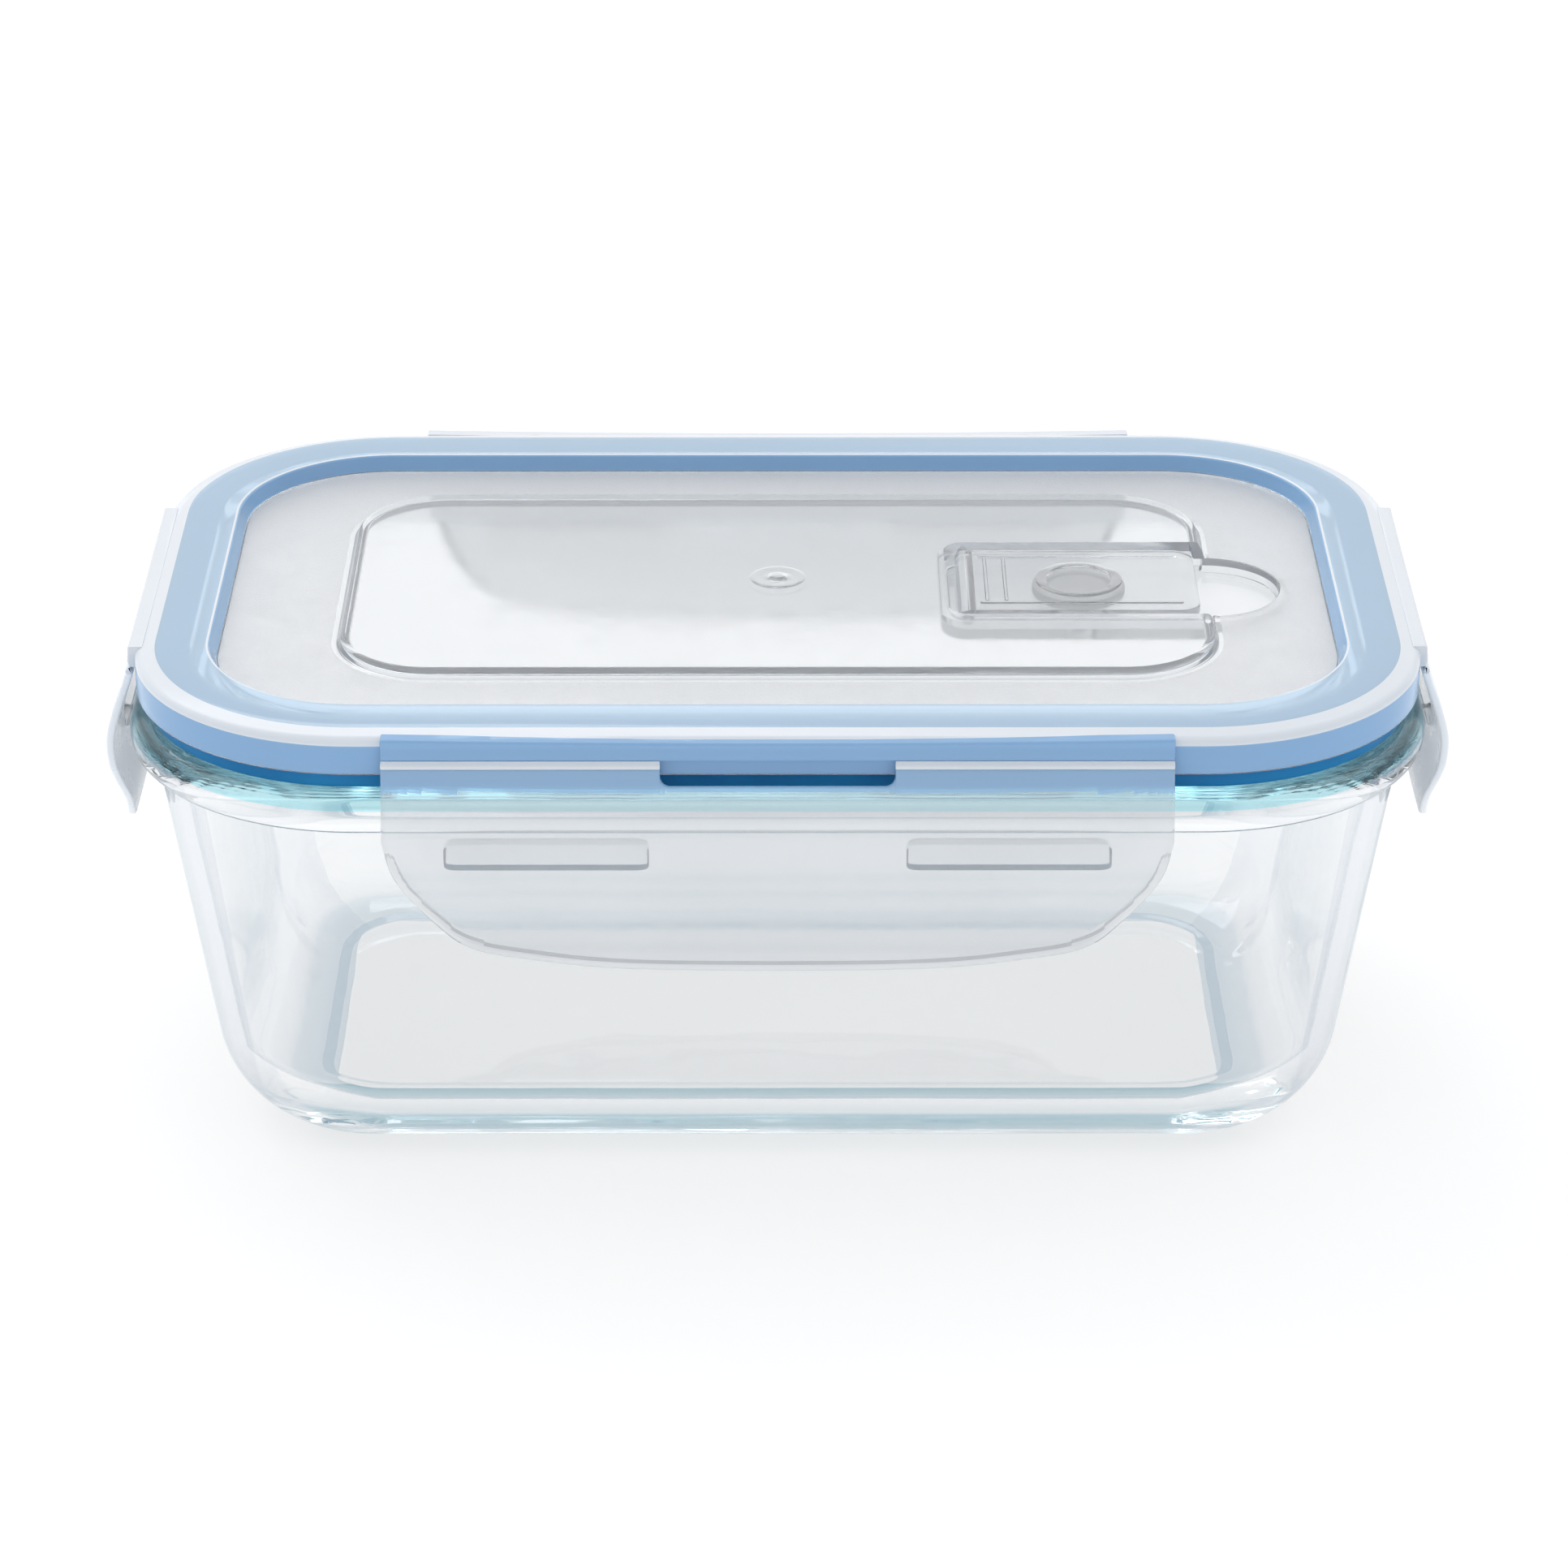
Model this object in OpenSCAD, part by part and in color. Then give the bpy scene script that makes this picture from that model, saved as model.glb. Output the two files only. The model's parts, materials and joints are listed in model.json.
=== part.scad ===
// Glass food box with a snap-lock lid: a pressed glass dish, a moulded lid with a seal in its rim, four latches
// on living hinges and a steam vent. Origin at the middle of the base, standing on z = 0, long side along X.

/* [Lid] */
// Width of the lid along its long side, without the latches
lid_w = 198; // [180:1:215]
// Depth of the lid along its short side, without the latches
lid_d = 122.5; // [118:0.5:140]
// Radius of the lid's corners, seen from above
lid_corner = 35.5; // [35:0.5:37]
// Height from the table to the crown of the rim
total_h = 80.5; // [78:0.5:92]
// Wall thickness of the lid moulding
lid_t = 1.6; // [1.4:0.1:1.7]

/* [Dish] */
// Slope of the dish's walls from the vertical, in degrees
draft = 9.1; // [8:0.1:10]
// Thickness of the dish's walls
glass_t = 3.6; // [3:0.1:4]
// Thickness of the dish's floor
floor_t = 4.6; // [4:0.1:5]
// Radius between the walls and the base
base_round = 18; // [15:0.5:19]

/* [Panel] */
// Width of the raised plateau in the middle of the lid
plateau_w = 136.5; // [134:0.5:140]
// Depth of the raised plateau
plateau_d = 71.5; // [70:0.5:74]
// Height of the plateau above the frosted panel
plateau_h = 1.6; // [1.4:0.1:1.8]

/* [Latches] */
// Length of the front and back latches
long_latch = 118; // [110:1:120]
// Length of the left and right latches
short_latch = 56; // [50:1:58]
// How far the long latches hang below their hinges
long_drop = 32.6; // [31.5:0.1:34]
// How far the short latches hang below their hinges
short_drop = 31; // [30:0.1:34]
// Wall thickness of a latch
latch_t = 1.3; // [1.1:0.1:1.3]

/* [Vent] */
// Length of the vent flap along X
flap_w = 36.6; // [36:0.1:36.6]
// Depth of the vent flap along Y
flap_d = 24.5; // [23:0.1:26]
// Diameter of the steam hole
steam_hole = 6; // [5:0.5:7]

/* [Hidden] */
$fn = 48;

eps = 0.01;
// Centres of the rounded corners, shared by the dish, the seal and the rim
corner_x = lid_w / 2 - lid_corner;
corner_y = lid_d / 2 - lid_corner;

// Heights of the lid
panel_z = total_h - 2.5;
plateau_z = panel_z + plateau_h;
shoulder_z = total_h - 1.5;
skirt_z = total_h - 6.7;

// Rim of the dish: top, widest place and underside of the bead
glass_h = skirt_z - 2.9;
bead_r = lid_corner + 1.3;
bead_mid_z = glass_h - 3.6;
bead_low_z = glass_h - 6.9;
wall_top_r = lid_corner - 2.8;
wall_top_z = glass_h - 9.6;

// The hinge line of every latch
hinge_out = 1.1;
hinge_z = total_h - 4.7;
pin_r = 0.5;
pin_gap = 0.05;
ledge_out = 1.2;

// A latch seen from its end: how far its outer face stands out from the hinge line, and its height below it
latch_face = [[0.6, -0.35], [1.35, -2.6], [2.6, -6], [3.65, -9.5], [4.1, -12.3], [3.85, -16], [3, -19],
    [2.15, -21.6], [1.85, -23.6], [1.95, -25.8], [2.4, -28.2], [2.95, -30.6], [3.3, -34.5]];
// Lower corner of a latch seen from the front: distance in from its side edge, and height below its hinge line
long_corner = [[0, -10.8], [1.4, -16.2], [4, -21], [7.6, -25.3], [12.4, -28.8], [20.8, -long_drop + 2]];
short_corner = [[0, -16], [0.8, -19.5], [2.4, -23], [4.9, -26], [8.4, -28.3], [13.5, -short_drop + 1.3]];
window_w = 35;
window_drop = 2.9;
window_round = 1.5;

// Catch bars, under the bead of the dish
catch_top = -11.4;
catch_low = -15.7;
catch_reach = -1.9;
catch_in = 19.2;
catch_end = 49.8;
side_catch = 30;

// Vent: pocket, finger notch and hinge of the flap
pocket_x = 27;
pocket_d = 28;
pocket_z = panel_z - 2.2;
notch_x = 68.2;
notch_r = 11.3;
vent_t = 1.4;
plug_x = 47.7;
trunnion_x = 29.8;
trunnion_z = panel_z - 0.2;
trunnion_r = 1;
flap_t = 1.6;
flap_z = plateau_z - 0.4 - flap_t;

// Points along an ellipse's arc, with its centre, its two half axes and its first and last angle
function arc(centre, half, from, to, steps = 8) = [for (i = [0:steps])
    let (a = from + (to - from) * i / steps) [centre[0] + half[0] * cos(a), centre[1] + half[1] * sin(a)]];
// A smooth line through a list of points
function spline(p, steps = 4) = [for (i = [0:len(p) - 2], k = [0:steps - 1])
    let (a = p[max(i - 1, 0)], b = p[i], c = p[i + 1], d = p[min(i + 2, len(p) - 1)], t = k / steps)
    0.5 * (2 * b + t * (c - a) + t * t * (2 * a - 5 * b + 4 * c - d) + t * t * t * (3 * b - a - 3 * c + d))];
function shifted(p, dx) = [for (q = p) [q[0] + dx, q[1]]];
function reversed(p) = [for (i = [len(p) - 1:-1:0]) p[i]];

// Carries a profile round a rounded rectangle. The profile's x is the distance from the corners' centres.
module sweep(cx, cy) {
    for (turn = [0, 180]) rotate(turn) {
        translate([cx, cy, 0]) rotate_extrude(angle = 90) children();
        translate([-cx, cy, 0]) rotate([0, 0, 90]) rotate_extrude(angle = 90) children();
        translate([-cx, cy, 0]) rotate([90, 0, 90]) linear_extrude(2 * cx) children();
        translate([cx, cy, 0]) rotate([90, 0, 0]) linear_extrude(2 * cy) children();
    }
}
// The flat middle that a swept profile leaves open
module middle(cx, cy, z0, z1) { translate([-cx, -cy, z0]) cube([2 * cx, 2 * cy, z1 - z0]); }
// A box from its lowest to its highest corner
module block(lo, hi) { translate(lo) cube(hi - lo); }

// Outside and inside of the dish's walls at a height
function wall_r(z) = wall_top_r - (wall_top_z - z) * tan(draft);
function inner_r(z) = wall_r(z) - glass_t / cos(draft);
inner_round = base_round - 3;
base_centre_r = wall_r(base_round) - base_round / cos(draft);
inner_centre_z = floor_t + inner_round;
inner_centre_r = inner_r(inner_centre_z) - inner_round / cos(draft);

module dish_profile() {
    polygon(concat(
        [[0, 0]],
        arc([base_centre_r, base_round], [base_round, base_round], -90, -draft, 10),
        [[wall_top_r, wall_top_z], [wall_top_r + 0.25, wall_top_z + 1.5], [wall_top_r + 0.8, bead_low_z + 0.2]],
        arc([bead_r - 2.4, bead_mid_z], [2.4, bead_mid_z - bead_low_z], -90, 0, 6),
        arc([bead_r - 3.7, bead_mid_z], [3.7, glass_h - bead_mid_z], 15, 90, 6),
        arc([inner_r(glass_h - 1.5) + 1.5, glass_h - 1.5], [1.5, 1.5], 90, 180, 4),
        arc([inner_centre_r, inner_centre_z], [inner_round, inner_round], -draft, -90, 8),
        [[0, floor_t]]));
}

module glass_dish() {
    color([0.86, 0.94, 0.95, 0.45]) {
        sweep(corner_x, corner_y) dish_profile();
        middle(corner_x, corner_y, 0, floor_t);
    }
}

// Rim, skirt, seal groove, plug wall and frosted panel in one section
groove_in = lid_corner - 8.4;
groove_out = lid_corner - 2.9;
groove_z = total_h - 1.7;
panel_r = lid_corner - 12.5;
module lid_profile() {
    polygon(concat(
        [[0, panel_z - lid_t], [panel_r + 0.6, panel_z - lid_t]],
        [[panel_r + 1.6, glass_h - 3.6], [groove_in - 1, glass_h - 3.8], [groove_in - 0.2, glass_h - 2.6]],
        [[groove_in, groove_z], [groove_out + 0.2, groove_z], [lid_corner - 1.5, groove_z - 1.2]],
        [[lid_corner - 1.4, skirt_z], [lid_corner, skirt_z]],
        arc([lid_corner - 1.7, shoulder_z - 0.4], [1.7, 1.3], 0, 70, 5),
        [[groove_out - 0.6, total_h - 0.1], [groove_in - 0.2, total_h]],
        arc([panel_r + 1.9, total_h - 0.7], [1, 0.7], 90, 170, 4),
        [[panel_r, panel_z], [0, panel_z]]));
}

module plateau() {
    round_r = 15;
    cx = plateau_w / 2 - round_r;
    cy = plateau_d / 2 - round_r;
    sweep(cx, cy) polygon([[0, panel_z - eps], [round_r, panel_z - eps], [round_r - 0.7, plateau_z - 0.5],
        [round_r - 1.8, plateau_z], [0, plateau_z]]);
    middle(cx, cy, panel_z - eps, plateau_z);
}
module plateau_hollow() {
    round_r = 15 - lid_t;
    cx = plateau_w / 2 - 15;
    cy = plateau_d / 2 - 15;
    low = panel_z - lid_t - 1;
    sweep(cx, cy) polygon([[0, low], [round_r, low], [round_r, plateau_z - lid_t], [0, plateau_z - lid_t]]);
    middle(cx, cy, low, plateau_z - lid_t);
}
// The sunken tub that the vent flap lies in, with its finger notch
module vent_tub(grow, low, high) {
    block([pocket_x - grow, -pocket_d / 2 - grow, low], [notch_x, pocket_d / 2 + grow, high]);
    translate([notch_x, 0, low]) cylinder(h = high - low, r = notch_r + grow);
}
// The ledge that a latch hangs from, on the rim's edge
module ledge(length, half_depth) {
    y = half_depth;
    translate([-length / 2, 0, 0]) rotate([90, 0, 90]) linear_extrude(length)
        polygon([[-y + 0.6, total_h - 0.3], [-y - ledge_out + 0.5, total_h - 0.3],
            [-y - ledge_out, total_h - 0.8], [-y - ledge_out, hinge_z + 1.5], [-y - hinge_out + 0.05, hinge_z + 0.85],
            [-y + 0.6, hinge_z + 0.85]]);
}

module lid_shell() {
    color([0.90, 0.93, 0.96, 0.6]) difference() {
        union() {
            difference() {
                union() {
                    sweep(corner_x, corner_y) lid_profile();
                    middle(corner_x, corner_y, panel_z - lid_t, panel_z);
                    plateau();
                    for (turn = [0, 180]) rotate(turn) {
                        ledge(long_latch, lid_d / 2);
                        rotate(90) ledge(short_latch, lid_w / 2);
                    }
                }
                plateau_hollow();
            }
            vent_tub(vent_t, pocket_z - vent_t, panel_z);
        }
        vent_tub(0, pocket_z, total_h);
        translate([plug_x, 0, pocket_z - vent_t - 1]) cylinder(h = vent_t + 2, d = steam_hole);
        translate([trunnion_x, pocket_d / 2 + vent_t, trunnion_z]) rotate([90, 0, 0])
            cylinder(h = pocket_d + 2 * vent_t, r = trunnion_r + pin_gap);
    }
}

module silicone_seal() {
    low = glass_h + 0.05;
    step = skirt_z - 0.2;
    color([0.10, 0.40, 0.70]) sweep(corner_x, corner_y)
        polygon([[groove_in + 0.2, low], [lid_corner - 2.1, low], [lid_corner - 1.7, low + 0.5],
            [lid_corner - 1.7, step - 0.4], [lid_corner - 1.9, step], [groove_out - 0.1, step + 0.4],
            [groove_out - 0.1, groove_z - 0.2], [groove_in + 0.2, groove_z - 0.2]]);
}

// Latches are drawn at the front, with their hinge line along X through the origin, and then moved to their side
module at_front() { translate([0, -lid_d / 2 - hinge_out, hinge_z]) children(); }
module at_back() { rotate(180) at_front() children(); }
module at_left() { rotate(-90) translate([0, -lid_w / 2 - hinge_out, hinge_z]) children(); }
module at_right() { rotate(90) translate([0, -lid_w / 2 - hinge_out, hinge_z]) children(); }

// The round bead of a living hinge with the thin web that ties it to the ledge
module hinge_strip(length, window) {
    spans = window > 0 ? [[-length / 2, -window / 2], [window / 2, length / 2]] : [[-length / 2, length / 2]];
    color([0.92, 0.95, 0.98, 0.8]) for (s = spans) translate([s[0], 0, 0]) rotate([0, 90, 0]) rotate(90) {
        cylinder(h = s[1] - s[0], r = pin_r);
        linear_extrude(s[1] - s[0]) polygon([[0.05, 0.3], [0.4, 0.3], [0.4, 0.85], [0.05, 0.85]]);
    }
}

// Front view of a latch: straight sides, wide lower corners and a shallow arc along the lip
module latch_outline(length, drop, corner, window) {
    half = length / 2;
    low = -drop + 0.25;
    right = [for (q = corner) [half - q[0], q[1]]];
    left = [for (q = reversed(corner)) [q[0] - half, q[1]]];
    difference() {
        polygon(concat([[-half, 1], [half, 1]], spline(concat(right, [[half / 3, low], [-half / 3, low]], left)),
            [left[len(left) - 1]]));
        if (window > 0) {
            translate([-window / 2, window_round - window_drop]) square([window, window_drop + 3]);
            translate([window_round - window / 2, -window_drop]) square([window - 2 * window_round, 3]);
            for (side = [-1, 1]) translate([side * (window / 2 - window_round), window_round - window_drop])
                circle(window_round);
        }
    }
}
// Section of a latch's wall
module latch_wall() {
    face = spline(latch_face);
    polygon([for (q = concat(face, shifted(reversed(face), -latch_t))) [-q[0], q[1]]]);
}
module latch(length, drop, corner, window) {
    color([0.93, 0.95, 0.98, 0.6]) difference() {
        intersection() {
            translate([-length / 2, 0, 0]) rotate([90, 0, 90]) linear_extrude(length) latch_wall();
            translate([0, 2, 0]) rotate([90, 0, 0]) linear_extrude(8) latch_outline(length, drop, corner, window);
        }
        translate([-length / 2 - 1, 0, 0]) rotate([0, 90, 0]) cylinder(h = length + 2, r = pin_r + pin_gap);
    }
}
// One catch bar, which starts at the inner face of a latch
module catch_bar(from, to) {
    color([0.88, 0.91, 0.95, 0.8]) translate([from, 0, 0]) rotate([90, 0, 90]) linear_extrude(to - from)
        difference() {
            polygon([[-3.2, catch_top], [-catch_reach - 0.5, catch_top - 1], [-catch_reach, catch_top - 1.6],
                [-0.4, catch_low + 0.2], [-3, catch_low]]);
            latch_wall();
        }
}
module catch_pair() { for (side = [0, 1]) mirror([side, 0, 0]) catch_bar(catch_in, catch_end); }

module vent_flap() {
    half = flap_d / 2;
    color([0.92, 0.95, 0.98, 0.7]) union() {
        block([trunnion_x, -half, flap_z], [trunnion_x + flap_w, half, flap_z + flap_t]);
        translate([trunnion_x, half, trunnion_z]) rotate([90, 0, 0]) cylinder(h = flap_d, r = 1.4);
        translate([trunnion_x, pocket_d / 2 + 1.2, trunnion_z]) rotate([90, 0, 0])
            cylinder(h = pocket_d + 2.4, r = trunnion_r);
    }
}
module vent_plug() {
    color([0.90, 0.93, 0.95, 0.9]) translate([plug_x, 0, 0]) {
        translate([0, 0, pocket_z + 0.1]) cylinder(h = flap_z - pocket_z - 0.1, d = 14.7);
        translate([0, 0, pocket_z - vent_t]) cylinder(h = vent_t + 0.2, d = steam_hole - 2);
    }
}

glass_dish();
lid_shell();
silicone_seal();
at_front() hinge_strip(long_latch, window_w);  // hinge_strip_front
at_back() hinge_strip(long_latch, window_w);  // hinge_strip_back
at_left() hinge_strip(short_latch, 0);  // hinge_strip_left
at_right() hinge_strip(short_latch, 0);  // hinge_strip_right
at_front() latch(long_latch, long_drop, long_corner, window_w);  // latch_front
at_back() latch(long_latch, long_drop, long_corner, window_w);  // latch_back
at_left() latch(short_latch, short_drop, short_corner, 0);  // latch_left
at_right() latch(short_latch, short_drop, short_corner, 0);  // latch_right
at_front() catch_pair();  // catch_bars_front
at_back() catch_pair();  // catch_bars_back
at_left() catch_bar(-side_catch / 2, side_catch / 2);  // catch_bar_left
at_right() catch_bar(-side_catch / 2, side_catch / 2);  // catch_bar_right
vent_flap();
vent_plug();
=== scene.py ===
import json
import math

import bmesh
import bpy
import numpy as np
from mathutils import Matrix, Vector


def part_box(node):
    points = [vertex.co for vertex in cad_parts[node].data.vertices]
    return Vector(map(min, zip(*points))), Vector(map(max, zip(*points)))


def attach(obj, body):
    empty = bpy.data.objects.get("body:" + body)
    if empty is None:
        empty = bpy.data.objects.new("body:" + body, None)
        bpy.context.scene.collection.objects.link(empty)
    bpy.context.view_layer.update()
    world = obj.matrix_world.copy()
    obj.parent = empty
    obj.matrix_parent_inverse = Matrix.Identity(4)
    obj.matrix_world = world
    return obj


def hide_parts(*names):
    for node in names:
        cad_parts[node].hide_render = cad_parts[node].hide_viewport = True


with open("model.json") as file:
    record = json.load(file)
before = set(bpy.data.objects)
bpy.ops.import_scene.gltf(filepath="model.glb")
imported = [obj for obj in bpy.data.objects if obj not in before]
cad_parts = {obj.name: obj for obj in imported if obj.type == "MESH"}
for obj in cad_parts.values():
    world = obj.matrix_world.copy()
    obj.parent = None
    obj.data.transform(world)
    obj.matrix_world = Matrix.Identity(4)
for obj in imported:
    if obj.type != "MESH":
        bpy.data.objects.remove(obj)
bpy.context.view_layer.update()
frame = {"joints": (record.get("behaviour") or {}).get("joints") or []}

# All shapes below are worked out in millimetres and scaled once, when their mesh is made.
MM = 0.001


def box_mm(node):
    low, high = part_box(node)
    return low / MM, high / MM


def joint_pos(name):
    return Vector(next(j for j in frame["joints"] if j["name"] == name)["pos_m"]) / MM


# ---------------------------------------------------------------- sizes, from the frame
seal_high = box_mm("silicone_seal")[1]
lid_high = box_mm("lid_shell")[1]
flap_high = box_mm("vent_flap")[1]
plug_low, plug_high = box_mm("vent_plug")
plug_centre = (plug_low + plug_high) / 2
front_hinge = joint_pos("front_latch_hinge")
side_hinge = joint_pos("right_latch_hinge")
vent_pin = joint_pos("vent_hinge")

SEAL_INSET = 1.7
HALF_W = seal_high.x + SEAL_INSET
HALF_D = seal_high.y + SEAL_INSET
CORNER = 35.5
CX, CY = HALF_W - CORNER, HALF_D - CORNER
TOP = lid_high.z
PANEL = TOP - 2.5
PLATEAU = PANEL + 1.6
SKIRT = TOP - 6.7
GLASS_TOP = SKIRT - 2.9
LID_T = 1.6
HINGE_Z = front_hinge.z
PLATEAU_R = 15
PLATEAU_CX, PLATEAU_CY = 68.25 - PLATEAU_R, 35.75 - PLATEAU_R

DRAFT = math.tan(math.radians(9.1))
GLASS_T = 3.6
FLOOR_T = 4.6
BASE_ROUND = 18
BEAD_R = CORNER + 1.3
BEAD_MID = GLASS_TOP - 3.6
BEAD_LOW = GLASS_TOP - 6.9
WALL_TOP_R = CORNER - 2.8
WALL_TOP_Z = GLASS_TOP - 9.6

# How finely curves are drawn: a corner's arc, a straight side, a spline's span, a full circle.
ARC_STEPS = 28
SIDE_STEPS = 6
SPLINE_STEPS = 8
CIRCLE_STEPS = 72


# ---------------------------------------------------------------- mesh helpers
def rounded(points, closed=False, step=9):
    """A polyline with its corners rounded: each point is (x, z) or (x, z, radius)."""
    out, count = [], len(points)
    for i, point in enumerate(points):
        radius = point[2] if len(point) > 2 else 0
        b = np.array(point[:2], float)
        if not radius or (not closed and i in (0, count - 1)):
            out.append(tuple(b))
            continue
        u = np.array(points[i - 1][:2], float) - b
        v = np.array(points[(i + 1) % count][:2], float) - b
        room = 0.48 * min(np.linalg.norm(u), np.linalg.norm(v))
        u, v = u / np.linalg.norm(u), v / np.linalg.norm(v)
        half = math.acos(max(-1, min(1, float(u @ v)))) / 2
        back = min(radius / math.tan(half), room)
        radius = back * math.tan(half)
        centre = b + (u + v) / np.linalg.norm(u + v) * radius / math.sin(half)
        first, last = b + u * back - centre, b + v * back - centre
        turn = math.pi - 2 * half
        steps = max(2, round(math.degrees(turn) / step))
        for k in range(steps + 1):
            t = k / steps
            arm = (math.sin((1 - t) * turn) * first + math.sin(t * turn) * last) / math.sin(turn)
            out.append(tuple(centre + arm))
    return out


def ellipse(centre, half, start, end, steps):
    """Points along an arc of an ellipse, between two angles in degrees."""
    angles = np.radians(np.linspace(start, end, steps + 1))
    return [(centre[0] + half[0] * math.cos(a), centre[1] + half[1] * math.sin(a)) for a in angles]


def smooth_line(points):
    """The same spline that the CAD source draws through a list of points."""
    out = []
    for i in range(len(points) - 1):
        a, b, c, d = (np.array(points[max(0, min(j, len(points) - 1))], float)
                      for j in (i - 1, i, i + 1, i + 2))
        for k in range(SPLINE_STEPS):
            t = k / SPLINE_STEPS
            out.append(0.5 * (2 * b + t * (c - a) + t * t * (2 * a - 5 * b + 4 * c - d)
                              + t ** 3 * (3 * b - a - 3 * c + d)))
    return np.array(out + [np.array(points[-1], float)])


def ring(r, z, cx=None, cy=None):
    """Points round a rounded rectangle, r out from its corner centres."""
    cx, cy = CX if cx is None else cx, CY if cy is None else cy
    corners = []
    for x, y, start in ((cx, cy, 0), (-cx, cy, 90), (-cx, -cy, 180), (cx, -cy, 270)):
        angles = np.radians(np.linspace(start, start + 90, ARC_STEPS + 1))
        corners.append(np.stack([x + r * np.cos(angles), y + r * np.sin(angles), np.full(len(angles), z)], 1))
    out = []
    for i, corner in enumerate(corners):
        out.extend(corner)
        follow = corners[(i + 1) % 4][0]
        for k in range(1, SIDE_STEPS):
            out.append(corner[-1] + (follow - corner[-1]) * k / SIDE_STEPS)
    return np.array(out)


def circle(r, z, x=0.0, y=0.0):
    angles = np.linspace(0, 2 * math.pi, CIRCLE_STEPS, endpoint=False)
    return np.stack([x + r * np.cos(angles), y + r * np.sin(angles), np.full(CIRCLE_STEPS, z)], 1)


def loft_data(rings, closed=False, slot_of=None):
    """Vertices, faces and slot numbers of a skin over rings of one length, with flat ends unless closed."""
    count = len(rings[0])
    verts = np.concatenate(rings)
    faces, slots = [], []
    for k in range(len(rings) if closed else len(rings) - 1):
        a, b = k * count, (k + 1) % len(rings) * count
        for i in range(count):
            j = (i + 1) % count
            faces.append((a + i, a + j, b + j, b + i))
            slots.append(slot_of(k) if slot_of else 0)
    if not closed:
        faces.append(tuple(range(count - 1, -1, -1)))
        faces.append(tuple((len(rings) - 1) * count + i for i in range(count)))
        slots += [slot_of(0), slot_of(len(rings) - 2)] if slot_of else [0, 0]
    return verts, faces, slots


def make(name, verts, faces, materials, slots=None):
    """An object from millimetre points, with a material slot number for each face."""
    mesh = bpy.data.meshes.new(name)
    mesh.from_pydata([tuple(v * MM for v in p) for p in verts], [], faces)
    for surface in materials:
        mesh.materials.append(surface)
    if slots:
        mesh.polygons.foreach_set("material_index", slots)
    mesh.update()
    obj = bpy.data.objects.new(name, mesh)
    bpy.context.scene.collection.objects.link(obj)
    outward(mesh)
    return obj


def outward(mesh):
    """Turns every face outwards, by the sign of the closed mesh's volume."""
    bm = bmesh.new()
    bm.from_mesh(mesh)
    bmesh.ops.recalc_face_normals(bm, faces=bm.faces)
    if bm.calc_volume(signed=True) < 0:
        bmesh.ops.reverse_faces(bm, faces=bm.faces)
    bm.to_mesh(mesh)
    bm.free()


def boolean(target, tools, operation):
    """Joins the tools to the target, or cuts them out of it, and removes them."""
    for tool in tools:
        modifier = target.modifiers.new(operation, "BOOLEAN")
        modifier.object, modifier.operation, modifier.solver = tool, operation, "EXACT"
    bpy.context.view_layer.update()
    depsgraph = bpy.context.evaluated_depsgraph_get()
    mesh = bpy.data.meshes.new_from_object(target.evaluated_get(depsgraph))
    target.modifiers.clear()
    target.data = mesh
    for tool in tools:
        bpy.data.objects.remove(tool)


def finish_piece(obj, body, slot, *nodes, sharp=38):
    """Smooth shading with its flats kept flat, then the piece takes its place in the frame."""
    mesh = obj.data
    mesh.polygons.foreach_set("use_smooth", [True] * len(mesh.polygons))
    mesh.set_sharp_from_angle(angle=math.radians(sharp))
    weighted = obj.modifiers.new("flat faces", "WEIGHTED_NORMAL")
    weighted.keep_sharp = True
    weighted.weight = 60
    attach(obj, body)
    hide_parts(*nodes)
    return obj


# ---------------------------------------------------------------- materials
# Scales of the noise that varies colour and gloss.
COLOUR_SCALE, GLOSS_SCALE = 45, 260
# How far a surface turns from the eye where glass starts to take its edge colour, painted shade along its
# silhouettes, and where it has all of it.
EDGE_SHADE_FROM, EDGE_SHADE_TO = 0.70, 0.93


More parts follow.
